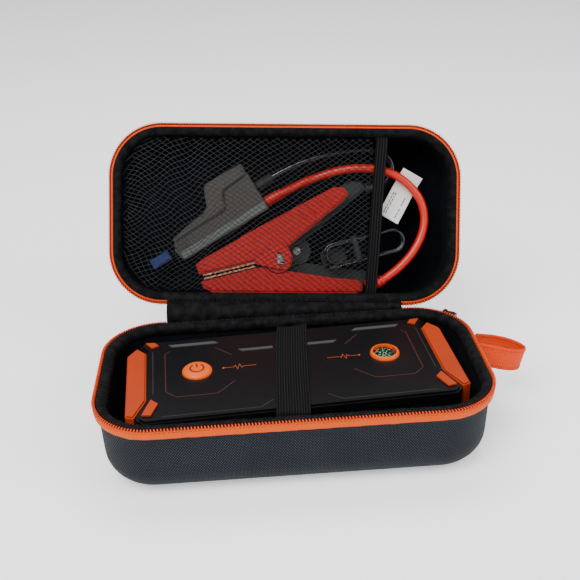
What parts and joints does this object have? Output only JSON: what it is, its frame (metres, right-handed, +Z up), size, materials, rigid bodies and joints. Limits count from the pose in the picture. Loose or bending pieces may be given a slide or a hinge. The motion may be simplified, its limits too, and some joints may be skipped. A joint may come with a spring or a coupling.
{
  "type": "jump starter pack",
  "caption": "Battery jump starter strapped in a zipped fabric case, its lid open, with clamps, control module and cables in a net pocket.",
  "frame": {"origin": "centre of the case base's flat underside", "axes": "+X along the case's long side, -Y towards the zip's front, +Z up"},
  "size_m": [0.2539, 0.2042, 0.1576],
  "materials": {
    "shell_fabric": "ballistic weave",
    "binding_fabric": "padded tricot",
    "orange_tape": "woven tape",
    "zip_coil": "coil",
    "elastic": "ribbed elastic",
    "net": "open net",
    "foam": "lined foam",
    "slider_metal": "satin",
    "unit_black": "fine spark texture",
    "orange_plastic": "satin",
    "trim_grey": "satin",
    "clear_lens": "clear",
    "compass_card": "printed",
    "cell_foil": "shrink film",
    "circuit_board": "solder mask",
    "switch_metal": "plated",
    "socket_plastic": "moulded",
    "rubber": "matte",
    "screw_steel": "zinc",
    "module_grey": "moulded",
    "module_light": "moulded",
    "clamp_red": "moulded",
    "clamp_black": "moulded",
    "cable_red": "silicone jacket",
    "cable_black": "flexible jacket",
    "copper": "copper plated",
    "spring_steel": "bright",
    "label_white": "printed film"
  },
  "bodies": {
    "case_base": {"base_shell": "shell_fabric", "base_rim_binding": "binding_fabric", "base_zip_tape": "orange_tape", "base_zip_teeth": "zip_coil", "fabric_hinge": "binding_fabric", "foam_pad": "foam", "elastic_strap": "elastic", "wrist_strap": "orange_tape", "zip_slider": "slider_metal", "unit_bottom_case": "unit_black", "unit_top_cover": "unit_black", "trim_bar_left_outer": "trim_grey", "trim_bar_left_inner": "trim_grey", "trim_bar_right_outer": "trim_grey", "trim_bar_right_inner": "trim_grey", "corner_accent_left_front": "orange_plastic", "corner_accent_left_back": "orange_plastic", "corner_accent_right_front": "orange_plastic", "corner_accent_right_back": "orange_plastic", "left_end_cap": "orange_plastic", "right_end_cap": "orange_plastic", "jump_socket": "socket_plastic", "usb_port": "switch_metal", "compass_bezel": "orange_plastic", "compass_lens": "clear_lens", "battery_pack": "cell_foil", "main_board": "circuit_board", "button_switch": "switch_metal", "case_screw_1": "screw_steel", "case_screw_2": "screw_steel"},
    "lid": {"lid_shell": "shell_fabric", "lid_rim_binding": "binding_fabric", "lid_zip_tape": "orange_tape", "lid_zip_teeth": "zip_coil", "mesh_pocket": "net", "pocket_elastic": "elastic", "module_lower_shell": "module_light", "module_upper_shell": "module_grey", "jump_plug": "socket_plastic", "red_clamp_lower": "clamp_red", "red_lower_jaw": "copper", "red_clamp_rivet": "spring_steel", "red_clamp_spring": "spring_steel", "black_clamp_upper": "clamp_black", "black_upper_jaw": "copper", "black_clamp_rivet": "spring_steel", "black_clamp_spring": "spring_steel", "red_cable": "cable_red", "black_cable": "cable_black", "cable_label": "label_white", "charge_cable": "cable_black", "charge_plug": "rubber"},
    "zip_pull": {"zip_pull": "slider_metal"},
    "power_button": {"power_button": "orange_plastic"},
    "compass_card": {"compass_card": "compass_card"},
    "socket_cover": {"socket_cover": "rubber"},
    "red_clamp_lever": {"red_clamp_upper": "clamp_red", "red_upper_jaw": "copper"},
    "black_clamp_lever": {"black_clamp_lower": "clamp_black", "black_lower_jaw": "copper"}
  },
  "joints": [
    {"name": "lid_hinge", "type": "hinge", "parent": "case_base", "child": "lid", "pos_m": [0.0636, 0.0581, 0.048], "axis": [-0.999, 0.0436, 0], "range_deg": [-115, 60]},
    {"name": "zip_pull_swing", "type": "hinge", "parent": "case_base", "child": "zip_pull", "pos_m": [0.10557, 0.05157, 0.045], "axis": [0.7071, -0.7071, 0], "range_deg": [0, 90]},
    {"name": "power_button_press", "type": "slide", "parent": "case_base", "child": "power_button", "axis": [0, 0, -1], "range_m": [0, 0.0008], "stiffness_N_per_m": 2500, "springref_m": -0.0004},
    {"name": "compass_spin", "type": "hinge", "parent": "case_base", "child": "compass_card", "pos_m": [0.05545, 0.00895, 0.0432], "axis": [0, 0, 1], "continuous": true},
    {"name": "socket_cover_flap", "type": "hinge", "parent": "case_base", "child": "socket_cover", "pos_m": [0.09591, 0.00769, 0.0164], "axis": [-0.0628, 0.998, 0], "range_deg": [0, 25], "stiffness_Nm_per_rad": 0.004},
    {"name": "red_clamp_grip", "type": "hinge", "parent": "lid", "child": "red_clamp_lever", "pos_m": [-0.00149, 0.08543, 0.07302], "axis": [0.0395, 0.9054, -0.4226], "range_deg": [0, 22], "stiffness_Nm_per_rad": 0.8, "springref_deg": -20.05},
    {"name": "black_clamp_grip", "type": "hinge", "parent": "lid", "child": "black_clamp_lever", "pos_m": [0.01142, 0.10128, 0.07032], "axis": [-0.0395, -0.9054, 0.4226], "range_deg": [0, 6], "stiffness_Nm_per_rad": 0.8, "springref_deg": -20.05}
  ]
}
